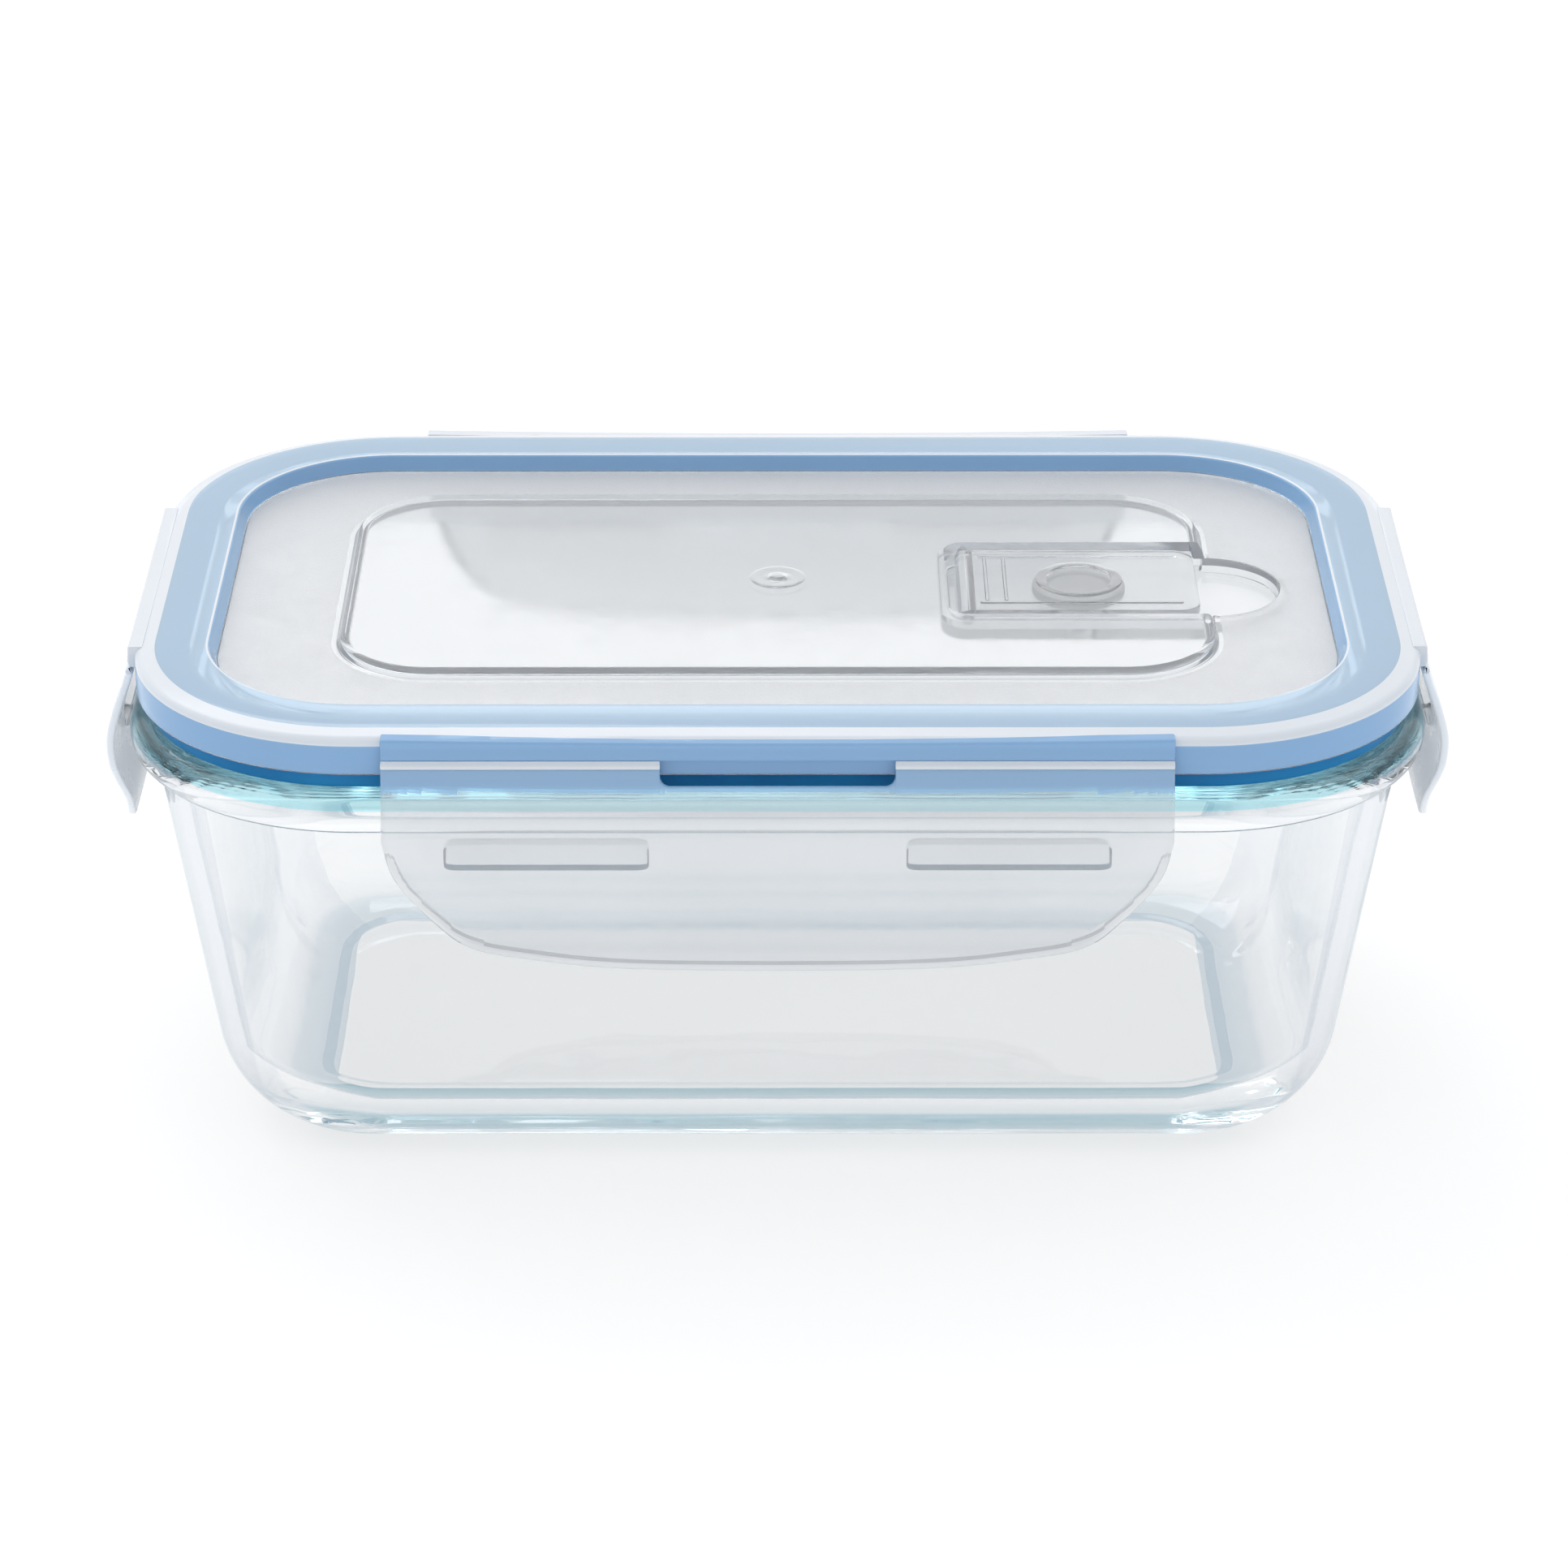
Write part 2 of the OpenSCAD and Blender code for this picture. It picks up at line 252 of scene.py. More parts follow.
def material(name, colour, roughness, waves, grain, rough_spread, colour_spread=0.02, transmission=0.0,
             ior=1.5, tint=None, foot_shade=None, edge=None, specular=0.5, glow=0.0):
    """A Principled surface with uneven colour and gloss, slow waves and a fine grain.

    waves and grain are (scale, strength, height in mm). foot_shade is a list of (height in mm, colour) that
    tints the surface from the table upwards: painted shade over the thick glass's own teal at its base. edge
    is the colour that clear glass takes where it is seen along its surface: its own tint, darkened into
    painted shade along its silhouettes. glow is painted light: a faint even light of the surface's own that
    stands in for scattering in milky plastic.
    """
    mat = bpy.data.materials.new(name)
    mat.use_nodes = True
    nodes, links = mat.node_tree.nodes, mat.node_tree.links
    shader = nodes["Principled BSDF"]
    shader.inputs["Transmission Weight"].default_value = transmission
    shader.inputs["IOR"].default_value = ior
    shader.inputs["Specular IOR Level"].default_value = specular
    shader.inputs["Emission Color"].default_value = (0.88, 0.94, 1.0, 1)
    shader.inputs["Emission Strength"].default_value = glow
    place = nodes.new("ShaderNodeTexCoord")

    def noise(scale, detail=3.0):
        node = nodes.new("ShaderNodeTexNoise")
        node.inputs["Scale"].default_value = scale
        node.inputs["Detail"].default_value = detail
        links.new(place.outputs["Object"], node.inputs["Vector"])
        return node.outputs["Fac"]

    def spread(source, low, high):
        node = nodes.new("ShaderNodeMapRange")
        node.inputs["From Min"].default_value, node.inputs["From Max"].default_value = 0.3, 0.7
        node.inputs["To Min"].default_value, node.inputs["To Max"].default_value = low, high
        links.new(source, node.inputs["Value"])
        return node.outputs["Result"]

    mix = nodes.new("ShaderNodeMix")
    mix.data_type = "RGBA"
    shade = tuple(c * (1 - colour_spread) for c in colour)
    mix.inputs["A"].default_value = (*shade, 1)
    mix.inputs["B"].default_value = (*(tint or colour), 1)
    links.new(spread(noise(COLOUR_SCALE), 0, 1), mix.inputs["Factor"])
    base = mix.outputs["Result"]
    # Painted shade up from the table, over the thick glass's own teal at its base.
    if foot_shade:
        height = nodes.new("ShaderNodeSeparateXYZ")
        links.new(place.outputs["Object"], height.inputs["Vector"])
        reach = nodes.new("ShaderNodeMapRange")
        reach.inputs["From Max"].default_value = foot_shade[-1][0] * MM
        links.new(height.outputs["Z"], reach.inputs["Value"])
        ramp = nodes.new("ShaderNodeValToRGB")
        stops = ramp.color_ramp.elements
        for i, (z, tone) in enumerate(foot_shade):
            at = z / foot_shade[-1][0]
            stop = stops[0] if i == 0 else stops[-1] if i == len(foot_shade) - 1 else stops.new(at)
            stop.position, stop.color = at, (*tone, 1)
        links.new(reach.outputs["Result"], ramp.inputs["Fac"])
        tinted = nodes.new("ShaderNodeMix")
        tinted.data_type, tinted.blend_type = "RGBA", "MULTIPLY"
        tinted.inputs["Factor"].default_value = 1
        links.new(base, tinted.inputs["A"])
        links.new(ramp.outputs["Color"], tinted.inputs["B"])
        base = tinted.outputs["Result"]
    # The edge colour: the glass's own tint, darkened into painted shade along its silhouettes.
    if edge:
        grazing = nodes.new("ShaderNodeLayerWeight")
        grazing.inputs["Blend"].default_value = 0.5
        reach = nodes.new("ShaderNodeMapRange")
        reach.inputs["From Min"].default_value = EDGE_SHADE_FROM
        reach.inputs["From Max"].default_value = EDGE_SHADE_TO
        links.new(grazing.outputs["Facing"], reach.inputs["Value"])
        rimmed = nodes.new("ShaderNodeMix")
        rimmed.data_type = "RGBA"
        links.new(reach.outputs["Result"], rimmed.inputs["Factor"])
        links.new(base, rimmed.inputs["A"])
        rimmed.inputs["B"].default_value = (*edge, 1)
        base = rimmed.outputs["Result"]
    links.new(base, shader.inputs["Base Color"])
    links.new(spread(noise(GLOSS_SCALE), max(0, roughness - rough_spread), roughness + rough_spread),
              shader.inputs["Roughness"])
    previous = None
    for scale, strength, height in (waves, grain):
        bump = nodes.new("ShaderNodeBump")
        bump.inputs["Strength"].default_value = strength
        bump.inputs["Distance"].default_value = height * MM
        links.new(noise(scale, 2.0), bump.inputs["Height"])
        if previous:
            links.new(previous, bump.inputs["Normal"])
        previous = bump.outputs["Normal"]
    links.new(previous, shader.inputs["Normal"])
    return mat


# edge is painted shade along the glass's silhouettes.
GLASS_LOOK = dict(roughness=0.0, transmission=1, ior=1.49, waves=(38, 0.5, 0.25), grain=(300, 0.1, 0.01),
                  rough_spread=0.0, colour_spread=0.004, edge=(0.30, 0.42, 0.50))
LID_LOOK = dict(ior=1.42, waves=(50, 0.4, 0.15), grain=(1200, 0.15, 0.02), rough_spread=0.03)
MILKY_LOOK = dict(waves=(70, 0.4, 0.1), grain=(1500, 0.3, 0.02))
SILICONE_LOOK = dict(waves=(120, 0.3, 0.1), grain=(1800, 0.4, 0.03), rough_spread=0.08)

# Painted shade up from the table: the thick glass's own teal at the base, darkened, most along the front.
FRONT_BASE_SHADE = [(0, (0.12, 0.30, 0.40)), (2.7, (0.22, 0.44, 0.54)), (3.5, (0.86, 0.91, 0.935)), (7, (1, 1, 1))]
SIDE_BASE_SHADE = [(0, (0.58, 0.71, 0.78)), (1.8, (0.66, 0.77, 0.83)), (2.8, (0.92, 0.945, 0.96)), (6, (1, 1, 1))]
CLEAR_GLASS_TINT = (0.955, 0.963, 0.968)
GLASS = material("pressed_glass", CLEAR_GLASS_TINT, **GLASS_LOOK)
# The front's outer glass takes the darker painted base shade, the back's the lighter one.
OUTER_GLASS = material("pressed_glass_outside", CLEAR_GLASS_TINT, **GLASS_LOOK, foot_shade=FRONT_BASE_SHADE)
# The two ends' glass: a greyer copy of the same glass, painted shade.
SIDE_SHADED_GLASS = material("pressed_glass_corners_shaded", (0.80, 0.825, 0.86), **GLASS_LOOK, foot_shade=SIDE_BASE_SHADE)
BACK_GLASS = material("pressed_glass_back", CLEAR_GLASS_TINT, **GLASS_LOOK, foot_shade=SIDE_BASE_SHADE)
RIM_GLASS = material("pressed_glass_rim", (0.36, 0.86, 0.97), **GLASS_LOOK)
# Painted shade in the floor's crease and under the rim's bead.
CREASE_SHADE_GLASS = material("pressed_glass_crease_shade", (0.62, 0.70, 0.78), **GLASS_LOOK)

CLEAR = material("clear_polypropylene", (0.945, 0.955, 0.968), 0.09, transmission=0.88, **LID_LOOK)
TINTED = material("polypropylene_over_seal", (0.60, 0.79, 0.97), 0.12, transmission=0.35, **LID_LOOK)
DEEP = material("polypropylene_against_seal", (0.37, 0.63, 0.96), 0.14, transmission=0.3, **LID_LOOK)
HAZY = material("polypropylene_rim_edge", (0.93, 0.96, 1.0), 0.2, transmission=0.15, **LID_LOOK)
FROST = material("fine_grained_polypropylene", (0.95, 0.955, 0.97), 0.42, transmission=0.5, ior=1.42,
                 waves=(90, 0.3, 0.1), grain=(2600, 0.9, 0.12), rough_spread=0.06)

MILKY = material("milky_polypropylene", (0.95, 0.965, 0.98), 0.08, transmission=0.76, ior=1.42,
                 rough_spread=0.03, **MILKY_LOOK)
SEAL_MILKY = material("milky_polypropylene_over_seal", (0.46, 0.68, 0.93), 0.16, transmission=0.3, ior=1.42,
                      rough_spread=0.05, **MILKY_LOOK)
LIP_MILKY = material("milky_polypropylene_lip", (0.98, 0.985, 0.99), 0.2, transmission=0.25, ior=1.42,
                     rough_spread=0.05, **MILKY_LOOK)
# The side latches: a greyer copy of the milky plastic with a faint glow of its own, painted light that
# brightens them.
GLOWING_SIDE_MILKY = material("milky_polypropylene_sides_glowing", (0.87, 0.89, 0.92), 0.3, transmission=0.2, ior=1.3,
                      glow=0.13, rough_spread=0.05, **MILKY_LOOK)
BAR = material("milky_polypropylene_bars", (0.98, 0.985, 0.99), 0.1, transmission=0.9, ior=1.22,
               rough_spread=0.05, **MILKY_LOOK)

BLUE = material("blue_silicone", (0.009, 0.19, 0.47), 0.45, tint=(0.013, 0.24, 0.54), specular=0.2,
                colour_spread=0.1, **SILICONE_LOOK)
# The seal's underside: a lighter copy of the blue, painted light where it is seen through the glass rim.
BLUE_LIT_UNDERSIDE = material("blue_silicone_underside_painted_light", (0.22, 0.70, 0.95), 0.45, colour_spread=0.1,
                        **SILICONE_LOOK)
CLEAR_RUBBER = material("clear_silicone", (0.95, 0.96, 0.97), 0.35, transmission=0.5, ior=1.41,
                        **SILICONE_LOOK)


# ---------------------------------------------------------------- dish
GLASS_FACE, OUTER_FACE, RIM_FACE, CREASE_SHADE_FACE, SIDE_SHADED_FACE, BACK_FACE = range(6)
DISH_MATERIALS = [GLASS, OUTER_GLASS, RIM_GLASS, CREASE_SHADE_GLASS, SIDE_SHADED_GLASS, BACK_GLASS]
# The inner floor has rounder corners than the walls: its radius grows, and its corner centres draw in.
FLOOR_WIDER, FLOOR_IN_X, FLOOR_IN_Y = 7, 4, 7
CREASE_DEPTH = 0.35
LIP_ROUND = 1.5


def wall_r(z):
    """The outer wall's radius about its corner centres, at a height."""
    return WALL_TOP_R - (WALL_TOP_Z - z) * DRAFT


def inner_r(z):
    """The inner wall's radius about the same centres."""
    return wall_r(z) - GLASS_T / math.cos(math.atan(DRAFT))


def build_dish():
    """One skin: up the outside, over the beaded rim, down the inside and across the floor."""
    slope = math.degrees(math.atan(DRAFT))
    secant = 1 / math.cos(math.radians(slope))
    base_r = wall_r(BASE_ROUND) - BASE_ROUND * secant
    inner_round = BASE_ROUND - 3
    floor_z = FLOOR_T + inner_round
    floor_r = inner_r(floor_z) - inner_round * secant
    profile = [(0.8, 0), (base_r - 1.5, 0), (base_r - 0.2, 0), (base_r, 0)]
    profile += ellipse((base_r, BASE_ROUND), (BASE_ROUND, BASE_ROUND), -90, -slope, 18)[1:]
    profile += rounded([(wall_r(40), 40), (wall_r(BEAD_LOW), BEAD_LOW, 1.6), (BEAD_R - 2.4, BEAD_LOW)])[:-1]
    profile += ellipse((BEAD_R - 2.4, BEAD_MID), (2.4, BEAD_MID - BEAD_LOW), -90, 0, 10)
    profile += ellipse((BEAD_R - 3.7, BEAD_MID), (3.7, GLASS_TOP - BEAD_MID), 0, 90, 10)[1:]
    lip_z = GLASS_TOP - LIP_ROUND
    profile += ellipse((inner_r(lip_z) + LIP_ROUND, lip_z), (LIP_ROUND, LIP_ROUND), 90, 180 + slope * 0.5, 8)
    inside = len(profile)
    profile += ellipse((floor_r, floor_z), (inner_round, inner_round), -slope, -90, 16)
    rings = [ring(r, z) for r, z in profile[:inside]]
    for r, z in profile[inside:]:
        widen = ((floor_z - z) / inner_round) ** 2
        rings.append(ring(r + FLOOR_WIDER * widen, z, CX - FLOOR_IN_X * widen, CY - FLOOR_IN_Y * widen))
    crease = len(profile) - 1
    inner = floor_r + FLOOR_WIDER
    low = FLOOR_T - CREASE_DEPTH
    for r, z in ((inner - 0.5, FLOOR_T - 0.04), (inner - 1.2, FLOOR_T - 0.3), (inner - 1.9, low),
                 (1.2, low), (0.8, low)):
        profile.append((r, z))
        rings.append(ring(r, z, CX - FLOOR_IN_X, CY - FLOOR_IN_Y))

    def face_slot(k):
        r, z = profile[k]
        # Painted shade: the floor's crease and the underside of the bead take the darker glass.
        if crease <= k < crease + 3 or r > wall_r(BEAD_LOW) + 0.3 and z < BEAD_LOW + 0.35:
            return CREASE_SHADE_FACE
        if z > BEAD_MID + 0.9 and k < inside - 1:
            return RIM_FACE
        return OUTER_FACE if 3 <= k < inside - 1 else GLASS_FACE

    verts, faces, slots = loft_data(rings, slot_of=face_slot)
    # The outer faces are shared out by where they stand, each with its own painted shade: the two ends, the
    # back, and the front that is left.
    quarter = ARC_STEPS + SIDE_STEPS
    for i, slot in enumerate(slots[:-2]):
        corner, spot = divmod(i % (4 * quarter), quarter)
        if slot == OUTER_FACE and (spot >= ARC_STEPS / 2) == (corner in (1, 3)):
            slots[i] = SIDE_SHADED_FACE
        elif slot == OUTER_FACE and corner in (0, 1):
            slots[i] = BACK_FACE
    dish = make("dish", verts, faces, DISH_MATERIALS, slots)
    return finish_piece(dish, "dish", "clear_glass", "glass_dish", sharp=60)


# ---------------------------------------------------------------- seal
def build_seal():
    low, step = GLASS_TOP + 0.05, SKIRT - 0.2
    inner, outer, high = CORNER - 8.2, CORNER - 3.0, TOP - 1.9
    profile = rounded([(inner, low, 0.5), (CORNER - SEAL_INSET, low, 0.7), (CORNER - SEAL_INSET, step, 0.5),
                       (outer, step + 0.4, 0.4), (outer, high, 0.7), (inner, high, 0.7)],
                      closed=True, step=15)
    levels = [z for _, z in profile]

    def face_slot(k):
        """0 is the free surface, and 1 the underside that lies against the glass, painted lighter as if lit
        through the rim.
        """
        return int(max(levels[k], levels[(k + 1) % len(levels)]) < low + 0.2)

    verts, faces, slots = loft_data([ring(r, z) for r, z in profile], closed=True, slot_of=face_slot)
    seal = make("seal", verts, faces, [BLUE, BLUE_LIT_UNDERSIDE], slots)
    return finish_piece(seal, "lid", "blue_silicone", "silicone_seal")


# ---------------------------------------------------------------- lid
CLEAR_FACE, FROST_FACE, TINTED_FACE, HAZY_FACE, DEEP_FACE = range(5)
LID_MATERIALS = [CLEAR, FROST, TINTED, HAZY, DEEP]
GROOVE_IN, GROOVE_OUT = CORNER - 8.4, CORNER - 2.9
GROOVE_TOP = TOP - 1.7
PANEL_R = CORNER - 12.5
NOTCH_X, NOTCH_R = 68.2, 11.3
POCKET_X, POCKET_HALF = 27, 14
POCKET_FLOOR = PANEL - 2.2
VENT_T = 1.4
STEAM_HOLE_R = 3
LEDGE_TOP, LEDGE_FOOT = TOP - 0.42, HINGE_Z + 0.85
LEDGE_ROUND = 0.3
LONG_DROOP, SHORT_DROOP = 0.55, 0.1
# The moulding's gate mark in the middle of the plateau: radius, and rise over the plateau.
GATE_MARK = [(4.4, -0.5), (4.4, 0.07), (4.2, 0.14), (3.6, 0.16), (2.6, 0.06), (1.4, 0.05), (1.1, 0.22),
             (0.7, 0.3), (0.1, 0.3)]


def lid_rings():
    """The lid's section from the middle of its underside, round the rim, to the middle of the plateau."""
    low = PANEL - LID_T
    hollow = rounded([(1, PLATEAU - LID_T), (PLATEAU_R - 1.6, PLATEAU - LID_T, 0.5),
                      (PLATEAU_R - 1.4, low, 0.5), (PLATEAU_R + 1, low)])
    rings = [ring(r, z, PLATEAU_CX, PLATEAU_CY) for r, z in hollow]
    under = rounded([(PANEL_R - 3, low), (PANEL_R + 0.6, low, 1.0), (PANEL_R + 1.6, GLASS_TOP - 3.7, 0.6),
                     (GROOVE_IN - 1, GLASS_TOP - 3.8, 0.5), (GROOVE_IN - 0.2, GLASS_TOP - 2.6, 0.5),
                     (GROOVE_IN, GROOVE_TOP, 0.3), (GROOVE_OUT + 0.2, GROOVE_TOP, 0.5),
                     (CORNER - 1.5, GROOVE_TOP - 1.2, 0.6), (CORNER - 1.4, SKIRT, 0.25),
                     (CORNER, SKIRT, 0.35), (CORNER, TOP - 2.1)])
    shoulder = ellipse((CORNER - 1.7, TOP - 1.9), (1.7, 1.35), 0, 72, 8)
    crown = rounded([(GROOVE_OUT - 0.2, TOP - 0.2), (GROOVE_OUT - 1.4, TOP - 0.06), (GROOVE_IN + 0.6, TOP),
                     (PANEL_R + 1.1, TOP - 0.05, 0.7), (PANEL_R + 0.1, PANEL, 0.45), (PANEL_R - 1.2, PANEL)])
    section = under + shoulder + crown
    # The skirt and the recess wall lie against the seal, the band is over it, and the rim's edges are bare.
    slots = [CLEAR_FACE] * (len(rings) + len(section))
    for k, (r, z) in enumerate(section, len(rings)):
        if r > CORNER - 0.02 and SKIRT + 0.3 < z < TOP - 2.05 or r < PANEL_R + 1.3 and z > PANEL + 0.1:
            slots[k] = DEEP_FACE
        elif z > TOP - 0.5 and GROOVE_IN - 0.1 < r < GROOVE_OUT:
            slots[k] = TINTED_FACE
        elif z > TOP - 2.05 and (r > GROOVE_OUT or r < GROOVE_IN):
            slots[k] = HAZY_FACE
    rings += [ring(r, z) for r, z in section]
    frost_from = len(rings) - 2
    step = rounded([(PLATEAU_R + 1.0, PANEL), (PLATEAU_R + 0.1, PANEL, 0.5), (PLATEAU_R - 0.7, PLATEAU, 0.9),
                    (PLATEAU_R - 3, PLATEAU), (1, PLATEAU)])
    rings += [ring(r, z, PLATEAU_CX, PLATEAU_CY) for r, z in step]
    slots += [CLEAR_FACE] * (len(rings) - len(slots))
    slots[frost_from] = slots[frost_from + 1] = FROST_FACE
    return rings, slots


def outline_levels(outline, levels):
    """Rings of an outline, moved outwards by an amount at each height."""
    points = np.array(outline)
    edge = np.roll(points, -1, 0) - np.roll(points, 1, 0)
    normal = np.stack([edge[:, 1], -edge[:, 0]], 1)
    normal /= np.linalg.norm(normal, axis=1)[:, None]
    return [np.column_stack([points + normal * grow, np.full(len(points), z)]) for grow, z in levels]


def pocket_outline(grow=0.0):
    """The vent's pocket with its finger notch, seen from above."""
    half = POCKET_HALF + grow
    reach = NOTCH_R + grow
    notch = ellipse((NOTCH_X, 0), (reach, reach), -90, 90, 40)
    corner = 3 + grow
    path = rounded([(NOTCH_X, half, 1.0), (POCKET_X - grow, half, corner), (POCKET_X - grow, -half, corner),
                    (NOTCH_X, -half, 1.0)], step=12)
    return notch + path


def tub_solid(name, outline, levels):
    """An outline seen from above, made solid through (growth, height) levels."""
    verts, faces, _ = loft_data(outline_levels(outline, levels))
    return make(name, verts, faces, LID_MATERIALS)


def ledge_solid(name, length, half_depth, turn, droop, slot):
    """A ledge that a latch hangs from; its top edge droops a little towards the middle."""
    y = -half_depth
    half = length / 2
    stations = [-half, -half + 0.08, -half + LEDGE_ROUND, *np.linspace(-half + 2, half - 2, 25),
                half - LEDGE_ROUND, half - 0.08, half]
    rings = []
    for x in stations:
        fall = droop * (1 - (x / half) ** 2)
        edge = half - abs(x)
        inset = 0
        if edge < LEDGE_ROUND:
            inset = LEDGE_ROUND - math.sqrt(max(0, LEDGE_ROUND ** 2 - max(0, LEDGE_ROUND - edge) ** 2))
        top = LEDGE_TOP - fall - inset
        profile = rounded([(y + 1.2, top), (y - 1.05 + inset, top, 0.45),
                           (y - 1.2 + inset, HINGE_Z + 1.6, 0.6), (y - 1.0 + inset, LEDGE_FOOT, 0.25),
                           (y + 1.2, LEDGE_FOOT)], step=15)
        rings.append(np.array([(x, q[0], q[1]) for q in profile]))
    verts, faces, _ = loft_data(rings)
    verts = np.array([Matrix.Rotation(math.radians(turn), 3, "Z") @ Vector(v) for v in verts])
    return make(name, verts, faces, LID_MATERIALS, [slot] * len(faces))


def disc_profile(name, profile, x, y, materials):
    """A solid of revolution from (radius, height) points."""
    verts, faces, _ = loft_data([circle(r, z, x, y) for r, z in profile])
    return make(name, verts, faces, materials)


def build_lid():
    rings, ring_slots = lid_rings()
    verts, faces, slots = loft_data(rings, slot_of=lambda k: ring_slots[k])
    lid = make("lid", verts, faces, LID_MATERIALS, slots)
    long_half, short_half = box_mm("latch_front")[1].x, box_mm("latch_left")[1].y
    ledges = [ledge_solid("ledge", 2 * long_half, HALF_D, turn, LONG_DROOP, slot)
              for turn, slot in ((0, DEEP_FACE), (180, HAZY_FACE))]
    ledges += [ledge_solid("ledge", 2 * short_half, HALF_W, turn, SHORT_DROOP, HAZY_FACE)
               for turn in (90, 270)]
    bottom = POCKET_FLOOR - VENT_T
    tub = tub_solid("tub", pocket_outline(VENT_T),
                    [(-0.5, bottom), (-0.15, bottom + 0.15), (0, bottom + 0.5), (0, PANEL - 0.4)])
    gate = disc_profile("gate", [(r, PLATEAU + rise) for r, rise in GATE_MARK], 0, 0, LID_MATERIALS)
    boolean(lid, [*ledges, tub, gate], "UNION")
    cavity = tub_solid("cavity", pocket_outline(),
                       [(-0.6, POCKET_FLOOR), (-0.2, POCKET_FLOOR + 0.15), (0, POCKET_FLOOR + 0.6),
                        (0, PANEL - 0.3), (0.12, PANEL - 0.1), (0.4, PANEL + 0.02), (0.4, PLATEAU + 1)])
    hole = disc_profile("hole", [(STEAM_HOLE_R, bottom - 1), (STEAM_HOLE_R, POCKET_FLOOR + 1)],
                        plug_centre.x, 0, LID_MATERIALS)
    boolean(lid, [cavity, hole], "DIFFERENCE")
    return finish_piece(lid, "lid", "clear_plastic", "lid_shell")


# ---------------------------------------------------------------- latches
# A latch is drawn hanging from its hinge line, at (0, 0). Its outer face: how far out, and at what height.
LATCH_TOP = -0.35
FACE = [(0.6, LATCH_TOP), (1.35, -2.6), (2.6, -6), (3.65, -9.5), (4.1, -12.3), (3.85, -16), (3.0, -19),
        (2.15, -21.6), (1.85, -23.6), (1.95, -25.8), (2.4, -28.2), (2.95, -30.6), (3.3, -34.5)]
FACE_MAX = 4.1
LATCH_T = 1.3
EDGE_ROUND = 0.42
LATCH_ROWS = 44
# The lower corners: how far in from the side, and at what height.
LONG_CORNER = [(0, -10.8), (1.4, -16.2), (4, -21), (7.6, -25.3), (12.4, -28.8), (20.8, -30.6)]
SHORT_CORNER = [(0, -16), (0.8, -19.5), (2.4, -23), (4.9, -26), (8.4, -28.3), (13.5, -29.7)]
WINDOW, WINDOW_DROP, WINDOW_ROUND = 17.5, -2.9, 1.5
# The raised band along the lower edge, which fades out above LIP_TOP.
LIP_BAND, LIP_RISE, LIP_TOP = 1.6, 0.15, -12.5
# Above this height the seal and the skirt show blue through the latch.
SEAL_SEEN = -3.8
MILKY_FACE, SEAL_FACE, LIP_FACE = range(3)

face_line = smooth_line(FACE)


def face_out(z):
    """How far a latch's outer face stands out from its hinge line at a height below it."""
    return np.interp(-z, -face_line[:, 1], face_line[:, 0])


def lip_line(half, corners, drop):
    """The right half of a latch's lower edge, from its side to the middle."""
    right = [(half - q[0], q[1]) for q in corners]
    low = -drop + 0.25
    line = smooth_line([*right, (half / 3, low), (-half / 3, low), (-right[-1][0], right[-1][1])])
    middle = line[len(right) * SPLINE_STEPS + SPLINE_STEPS // 2]
    return np.array([p for p in line if p[0] > 1e-6] + [(0.0, middle[1])])


def distance_to(points, line):
    """Each point's distance to a polyline."""
    a, b = line[:-1], line[1:]
    ab = b - a
    best = np.full(len(points), 1e9)
    for start, along in zip(a, ab):
        rel = points - start
        t = np.clip(rel @ along / max(along @ along, 1e-12), 0, 1)
        best = np.minimum(best, np.linalg.norm(rel - t[:, None] * along, axis=1))
    return best


def latch_top(x, window):
    """The height of a latch's upper edge, which the window lowers in the middle of a long one."""
    ax = abs(x)
    if not window or ax >= WINDOW:
        return LATCH_TOP
    if ax <= WINDOW - WINDOW_ROUND:
        return WINDOW_DROP
    dx = ax - (WINDOW - WINDOW_ROUND)
    return WINDOW_DROP + WINDOW_ROUND - math.sqrt(max(0, WINDOW_ROUND ** 2 - dx ** 2))


def latch_columns(half, lip, window):
    """Where a latch's grid has its columns: close together at its sides and at the window's edges."""
    edge_x = half - np.array([0, 0.04, 0.12, 0.25, 0.45, 0.7, 1.0])
    inner_x = np.linspace(0, lip[-2][0], 3)[:-1]
    spread_x = np.linspace(0, half - 1, 40)
    columns = set(np.round(np.concatenate([edge_x, lip[:, 0], inner_x, spread_x]), 3))
    if window:
        columns.update(round(WINDOW - d, 3) for d in (0, 0.02, 0.1, 0.25, 0.45, 0.7, 1.0, 1.3, 1.5, 1.6))
        columns.update(round(WINDOW + d, 3) for d in (0.02, 0.1, 0.25, 0.5, 0.8))
    xs = sorted(columns)
    kept = [xs[0]]
    for x in xs[1:]:
        if x - kept[-1] > 0.015:
            kept.append(x)
    return np.array([-x for x in kept[:0:-1]] + kept)


def latch_grid(half, lip, window):
    """A latch's face as columns of (x, height), from its upper edge down to its lower one."""
    xs = latch_columns(half, lip, window)
    order = np.argsort(lip[:, 0])
    low = np.interp(np.abs(xs), lip[order, 0], lip[order, 1])
    top = np.array([latch_top(x, window) for x in xs])
    near = np.array([0, 0.05, 0.14, 0.28, 0.5, 0.8, 1.1, 1.4, 1.75, 2.2])
    grid = []
    for x, z0, z1 in zip(xs, top, low):
        fit = min(1.0, (z0 - z1) / 9)
        body_z = np.linspace(z0 - 0.5 * fit, z1 + 2.2 * fit, LATCH_ROWS)[1:-1]
        column = np.concatenate([z0 - near[:5] * fit, body_z, z1 + near[::-1] * fit])
        grid.append(np.column_stack([np.full(len(column), x), column]))
    return np.array(grid)


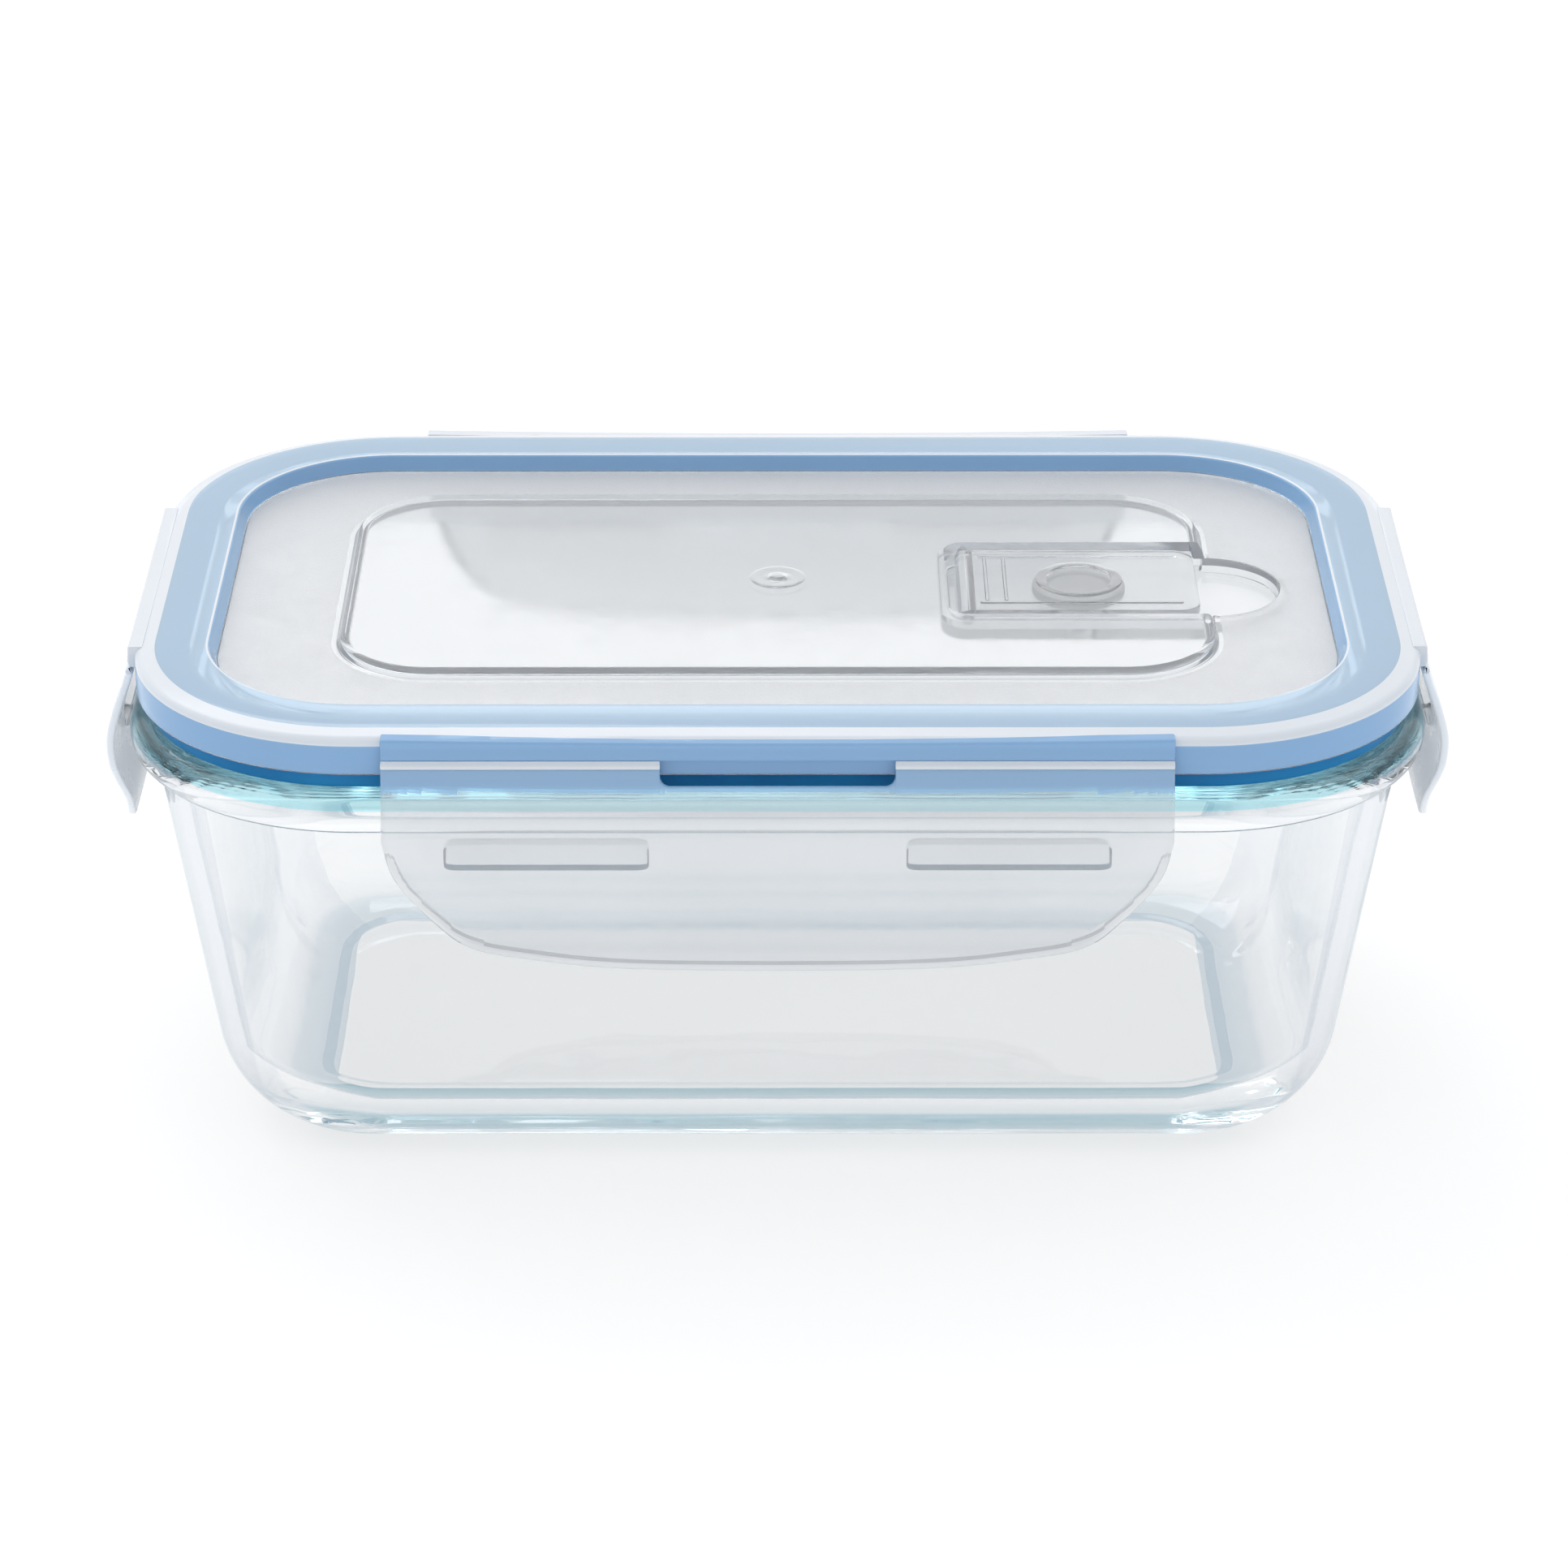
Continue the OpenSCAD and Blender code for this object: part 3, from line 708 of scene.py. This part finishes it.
def latch_edges(half, lip, window):
    """A latch's whole outline, and the lower part of it that carries the lip."""
    left = lip[::-1] * (-1, 1)
    edge = np.concatenate([[(half, LATCH_TOP)], lip, left[1:], [(-half, LATCH_TOP)]])
    if window:
        arch_x = np.linspace(-WINDOW + 1e-4, WINDOW - 1e-4, 90)
        arch = [(-WINDOW, LATCH_TOP)] + [(x, latch_top(x, True)) for x in arch_x]
        edge = np.concatenate([edge, arch, [(WINDOW, LATCH_TOP)]])
    return np.concatenate([edge, [(half, LATCH_TOP)]]), np.concatenate([lip, left[1:]])


def shell_faces(columns, rows):
    """Faces of a closed shell: a grid of points, the same grid behind it, and the border between."""
    offset = columns * rows
    faces = []
    for i in range(columns - 1):
        for j in range(rows - 1):
            a, b = i * rows + j, (i + 1) * rows + j
            faces.append((a, a + 1, b + 1, b))
            faces.append((offset + a, offset + b, offset + b + 1, offset + a + 1))
    border = [(i, 0) for i in range(columns)] + [(columns - 1, j) for j in range(1, rows)]
    border += [(i, rows - 1) for i in range(columns - 2, -1, -1)] + [(0, j) for j in range(rows - 2, 0, -1)]
    for p, q in zip(border, border[1:] + border[:1]):
        a, b = p[0] * rows + p[1], q[0] * rows + q[1]
        faces.append((a, b, offset + b, offset + a))
    return faces


def build_latch(name, half, corners, drop, window, place, body, node):
    """An S-shaped plate with rounded edges; a long one has a window over the seal and a band at its lip."""
    lip = lip_line(half, corners, drop)
    grid = latch_grid(half, lip, window)
    flat = grid.reshape(-1, 2)
    edge, lower_edge = latch_edges(half, lip, window)
    to_edge = distance_to(flat, edge)
    to_lip = distance_to(flat, lower_edge)
    cut = np.clip(EDGE_ROUND - to_edge, 0, EDGE_ROUND)
    cut = EDGE_ROUND - np.sqrt(EDGE_ROUND ** 2 - cut ** 2)
    band = np.clip((LIP_BAND - to_lip) / 0.6, 0, 1)
    low_down = np.clip((LIP_TOP - flat[:, 1]) / 4, 0, 1)
    band = band * band * (3 - 2 * band) * low_down * (LIP_RISE if window else 0)
    out = face_out(flat[:, 1])
    front = np.column_stack([flat[:, 0], -np.minimum(out - cut + band, FACE_MAX), flat[:, 1]])
    back = np.column_stack([flat[:, 0], -(out - LATCH_T + cut), flat[:, 1]])
    verts = np.concatenate([front, back])
    faces = shell_faces(*grid.shape[:2])
    on_lip = np.tile(window & (to_lip < LIP_BAND - 0.25) & (to_lip > 0.12) & (flat[:, 1] < LIP_TOP), 2)
    slots = []
    for face in faces:
        over_seal = window and min(verts[i][2] for i in face) > SEAL_SEEN
        slots.append(LIP_FACE if on_lip[list(face)].all() else SEAL_FACE if over_seal else MILKY_FACE)
    verts = np.array([place @ Vector(v) for v in verts])
    obj = make(name, verts, faces, [MILKY if window else GLOWING_SIDE_MILKY, SEAL_MILKY, LIP_MILKY], slots)
    return finish_piece(obj, body, "milky_plastic", node)


# A catch bar's heights below the hinge line, and how far it reaches in from it.
CATCH_TOP, CATCH_LOW, CATCH_REACH = -11.4, -15.7, 1.9
HINGE_BEAD_R = 0.5


def catch_bar(start, end):
    """A catch bar at the front: rings of its section along X, drawn in at both ends."""
    def wall(z):
        return -(face_out(z) - LATCH_T) + 0.04

    profile = rounded([(wall(CATCH_TOP), CATCH_TOP, 0.15), (CATCH_REACH - 0.5, CATCH_TOP - 1, 0.4),
                       (CATCH_REACH, CATCH_TOP - 1.6, 0.3), (-0.4, CATCH_LOW + 0.2, 0.5),
                       (wall(CATCH_LOW), CATCH_LOW, 0.15)], closed=True, step=18)
    profile = np.array(profile)
    centre = np.array([wall((CATCH_TOP + CATCH_LOW) / 2), (CATCH_TOP + CATCH_LOW) / 2])
    rings = []
    for x, scale in ((start, 0.62), (start + 0.15, 0.78), (start + 0.5, 0.9), (start + 1.1, 0.97),
                     (start + 2, 1), (end - 2, 1), (end - 1.1, 0.97), (end - 0.5, 0.9), (end - 0.15, 0.78),
                     (end, 0.62)):
        section = centre + (profile - centre) * scale
        rings.append(np.column_stack([np.full(len(section), x), section]))
    return rings


def hinge_strip(start, end):
    """A living hinge's bead and the thin web over it: rings of its section along X."""
    bead = ellipse((0, 0), (HINGE_BEAD_R, HINGE_BEAD_R), 130, 410, 28)
    outline = [(-y, z) for y, z in bead] + [(0.32, 0.83), (-0.02, 0.83)]
    rings = []
    for x, scale in ((start, 0.8), (start + 0.12, 1), (end - 0.12, 1), (end, 0.8)):
        section = np.array(outline) * scale
        rings.append(np.column_stack([np.full(len(section), x), section]))
    return rings


def build_spans(name, section_rings, spans, place, surface, body, node):
    """The same section along each span of X, put in place on its side of the lid, as one piece."""
    verts, faces = [], []
    for start, end in spans:
        v, f, _ = loft_data(section_rings(start, end))
        faces += [tuple(i + len(verts) for i in face) for face in f]
        verts += [place @ Vector(p) for p in v]
    return finish_piece(make(name, verts, faces, [surface]), body, "milky_plastic", node)


# ---------------------------------------------------------------- vent
VENT_HALF = 12.25
VENT_PLATE_T = 1.6
VENT_SUNK = 0.4
# The trunnions: their ends' distance from the middle, their radius and how many sides their circles have.
PIN_END, PIN_R, PIN_STEPS = 14.7, 0.95, 32


def bar_solid(name, x0, x1, y0, y1, corner, levels):
    """A bar with rounded corners, seen from above, through (growth, height) levels."""
    outline = rounded([(x0, y0, corner), (x1, y0, corner), (x1, y1, corner), (x0, y1, corner)],
                      closed=True, step=30)
    return tub_solid(name, outline, levels)


def build_vent_flap():
    """A plate with two ribs, two cross bars and a ring over the plug, on a barrel that ends in trunnions."""
    high = PLATEAU - VENT_SUNK
    z0 = high - VENT_PLATE_T
    x0, x1 = vent_pin.x, flap_high.x
    half = VENT_HALF
    outline = rounded([(x0, -half), (x1, -half, 3.2), (x1, half, 3.2), (x0, half)], step=9)
    plate = tub_solid("steam_flap", outline, [(-0.35, z0), (-0.1, z0 + 0.1), (0, z0 + 0.35),
                                             (0, high - 0.35), (-0.1, high - 0.1), (-0.35, high)])
    adds = [bar_solid("rib", x0 + 2, x1 - 2.6, y - 0.45, y + 0.45, 0.4,
                      [(0, high - 0.5), (0, high + 0.1), (-0.15, high + 0.25)]) for y in (-9.2, 9.2)]
    adds += [bar_solid("cross", x - 0.3, x + 0.3, -8.6, 8.6, 0.25,
                       [(0, high - 0.5), (0, high + 0.05), (-0.12, high + 0.18)])
             for x in (x0 + 3.2, x0 + 6.2)]
    ring_profile = [(6.9, -0.5), (6.9, 0.05), (6.6, 0.25), (5.6, 0.3), (5.1, 0.1), (4.9, -0.5)]
    verts, faces, _ = loft_data([circle(r, high + rise, plug_centre.x) for r, rise in ring_profile],
                                closed=True)
    adds.append(make("ring", verts, faces, LID_MATERIALS))
    barrel = [(-PIN_END, 0.6), (-PIN_END + 0.3, PIN_R), (-half - 0.05, PIN_R), (-half, 1.3),
              (-half + 0.2, 1.4), (half - 0.2, 1.4), (half, 1.3), (half + 0.05, PIN_R),
              (PIN_END - 0.3, PIN_R), (PIN_END, 0.6)]
    angles = np.linspace(0, 2 * math.pi, PIN_STEPS, endpoint=False)
    rings = [np.column_stack([x0 + r * np.sin(angles), np.full(PIN_STEPS, y),
                              vent_pin.z + r * np.cos(angles)]) for y, r in barrel]
    verts, faces, _ = loft_data(rings)
    adds.append(make("barrel", verts, faces, LID_MATERIALS))
    boolean(plate, adds, "UNION")
    return finish_piece(plate, "vent", "milky_plastic", "vent_flap")


def build_plug():
    """A disc with a hollow top, and the nib below it that closes the steam hole."""
    z0, z1 = plug_low.z, plug_high.z
    disc = POCKET_FLOOR + 0.1
    profile = rounded([(0.1, z0), (2.0, z0, 0.3), (2.0, disc, 0.2), (7.35, disc, 0.4), (7.35, z1 - 0.05, 0.3),
                       (5.2, z1 - 0.05, 0.2), (4.9, z1 - 0.7, 0.3), (0.1, z1 - 0.7)], step=20)
    obj = disc_profile("steam_plug", profile, plug_centre.x, 0, [CLEAR_RUBBER])
    return finish_piece(obj, "vent", "clear_silicone", "vent_plug")


# ---------------------------------------------------------------- surroundings
# In metres: half the table top's side, and how far it lies below the base.
FLOOR_HALF, FLOOR_DROP = 7.0, 0.00005
FLOOR_GREY, FLOOR_GLOW = 0.35, 0.73
CARD_COLOUR = (0.55, 0.62, 0.70, 1)
WORLD_STRENGTH = 0.95


def build_floor():
    """A plain pale table top, a hair under the base, with some light of its own so that it stays white."""
    mesh = bpy.data.meshes.new("floor")
    corners = [(x * FLOOR_HALF, y * FLOOR_HALF, 0) for x, y in ((-1, -1), (1, -1), (1, 1), (-1, 1))]
    mesh.from_pydata(corners, [], [(0, 1, 2, 3)])
    floor = bpy.data.objects.new("floor", mesh)
    floor.location.z = -FLOOR_DROP
    bpy.context.scene.collection.objects.link(floor)
    mat = bpy.data.materials.new("white_table")
    mat.use_nodes = True
    shader = mat.node_tree.nodes["Principled BSDF"]
    shader.inputs["Base Color"].default_value = (FLOOR_GREY, FLOOR_GREY, FLOOR_GREY, 1)
    shader.inputs["Roughness"].default_value = 0.9
    shader.inputs["Specular IOR Level"].default_value = 0.1
    shader.inputs["Emission Color"].default_value = (1, 1, 1, 1)
    shader.inputs["Emission Strength"].default_value = FLOOR_GLOW
    mesh.materials.append(mat)


def build_world():
    """White at the back and overhead, greyer towards the front (-Y), so that clear edges read."""
    world = bpy.data.worlds.new("studio")
    bpy.context.scene.world = world
    world.use_nodes = True
    nodes, links = world.node_tree.nodes, world.node_tree.links
    back = nodes["Background"]
    coord = nodes.new("ShaderNodeTexCoord")
    split = nodes.new("ShaderNodeSeparateXYZ")
    links.new(coord.outputs["Generated"], split.inputs["Vector"])
    ramp = nodes.new("ShaderNodeValToRGB")
    side = nodes.new("ShaderNodeMapRange")
    side.inputs["From Min"].default_value, side.inputs["From Max"].default_value = -1, 1
    links.new(split.outputs["Y"], side.inputs["Value"])
    links.new(side.outputs["Result"], ramp.inputs["Fac"])
    stops = ramp.color_ramp.elements
    stops[0].position, stops[0].color = 0.0, (0.48, 0.53, 0.58, 1)
    stops[1].position, stops[1].color = 1.0, (1.0, 1.0, 1.0, 1)
    middle = stops.new(0.30)
    middle.color = (0.86, 0.89, 0.93, 1)
    high = stops.new(0.5)
    high.color = (1.0, 1.0, 1.0, 1)
    # Two grey cards, low at the left and at the right.
    card = nodes.new("ShaderNodeMath")
    card.operation = "ABSOLUTE"
    links.new(split.outputs["X"], card.inputs[0])
    reach = nodes.new("ShaderNodeMapRange")
    reach.interpolation_type = "SMOOTHSTEP"
    reach.inputs["From Min"].default_value, reach.inputs["From Max"].default_value = 0.70, 0.92
    links.new(card.outputs["Value"], reach.inputs["Value"])
    lower = nodes.new("ShaderNodeMapRange")
    lower.interpolation_type = "SMOOTHSTEP"
    lower.inputs["From Min"].default_value, lower.inputs["From Max"].default_value = 0.55, 0.25
    links.new(split.outputs["Z"], lower.inputs["Value"])
    both = nodes.new("ShaderNodeMath")
    both.operation = "MULTIPLY"
    links.new(reach.outputs["Result"], both.inputs[0])
    links.new(lower.outputs["Result"], both.inputs[1])
    cards = nodes.new("ShaderNodeMix")
    cards.data_type = "RGBA"
    cards.inputs["B"].default_value = CARD_COLOUR
    links.new(both.outputs["Value"], cards.inputs["Factor"])
    links.new(ramp.outputs["Color"], cards.inputs["A"])
    links.new(cards.outputs["Result"], back.inputs["Color"])
    back.inputs["Strength"].default_value = WORLD_STRENGTH


def area_light(name, spot, aim, width, depth, power):
    """A soft rectangular light; distances in metres, power in watts."""
    light = bpy.data.lights.new(name, "AREA")
    light.shape, light.size, light.size_y, light.energy = "RECTANGLE", width, depth, power
    obj = bpy.data.objects.new(name, light)
    obj.location = spot
    obj.rotation_euler = (Vector(aim) - Vector(spot)).to_track_quat("-Z", "Y").to_euler()
    bpy.context.scene.collection.objects.link(obj)


# Millimetres for the lens, and metres for where the camera looks and from how far.
LENS, SENSOR = 124.2, 36
CAMERA_PITCH, CAMERA_YAW = math.radians(25.4), math.radians(0.063)
CAMERA_AIM, CAMERA_REACH = (0.00101, 0, 0.04335), 0.8732


def build_camera():
    data = bpy.data.cameras.new("camera")
    data.sensor_width = SENSOR
    data.lens = LENS
    data.clip_start, data.clip_end = 0.05, 50
    camera = bpy.data.objects.new("camera", data)
    bpy.context.scene.collection.objects.link(camera)
    level = math.cos(CAMERA_PITCH)
    forward = Vector((math.sin(CAMERA_YAW) * level, math.cos(CAMERA_YAW) * level, -math.sin(CAMERA_PITCH)))
    camera.location = Vector(CAMERA_AIM) - CAMERA_REACH * forward
    camera.rotation_euler = forward.to_track_quat("-Z", "Y").to_euler()
    bpy.context.scene.camera = camera


# ---------------------------------------------------------------- putting it together
def hinge_place(turn, out):
    """From a latch drawn at the front with its hinge line at the origin, to its own side of the lid."""
    return Matrix.Rotation(math.radians(turn), 4, "Z") @ Matrix.Translation((0, -out, HINGE_Z))


LONG_BARS, SHORT_BARS = [(-49.8, -19.2), (19.2, 49.8)], [(-15, 15)]
# Each side of the lid: its turn about Z from the front, and how far out its hinge line is.
SIDES = (("front", 0, -front_hinge.y), ("back", 180, -front_hinge.y),
         ("left", -90, side_hinge.x), ("right", 90, side_hinge.x))


def build_side(side, turn, out):
    """A latch with its catch bars and its living hinge."""
    place = hinge_place(turn, out)
    is_long = side in ("front", "back")
    low, high = box_mm("latch_" + side)
    half = high.x if is_long else high.y
    body = side + "_latch"
    build_latch("flap_" + side, half, LONG_CORNER if is_long else SHORT_CORNER, HINGE_Z - low.z, is_long,
                place, body, "latch_" + side)
    build_spans("catches_" + side, catch_bar, LONG_BARS if is_long else SHORT_BARS, place, BAR, body,
                ("catch_bars_" if is_long else "catch_bar_") + side)
    strips = [(-half, -WINDOW), (WINDOW, half)] if is_long else [(-half, half)]
    build_spans("hinge_" + side, hinge_strip, strips, place, HAZY, "lid", "hinge_strip_" + side)


build_dish()
build_seal()
build_lid()
for side, turn, out in SIDES:
    build_side(side, turn, out)
build_vent_flap()
build_plug()
build_floor()
build_world()
area_light("top_light", spot=(-0.5, 0.9, 1.3), aim=(0, 0, 0.05), width=1.2, depth=0.8, power=6)
build_camera()

scene = bpy.context.scene
scene.cycles.max_bounces = scene.cycles.glossy_bounces = scene.cycles.transmission_bounces = 64
scene.view_settings.view_transform = "Standard"
scene.view_settings.look = "None"
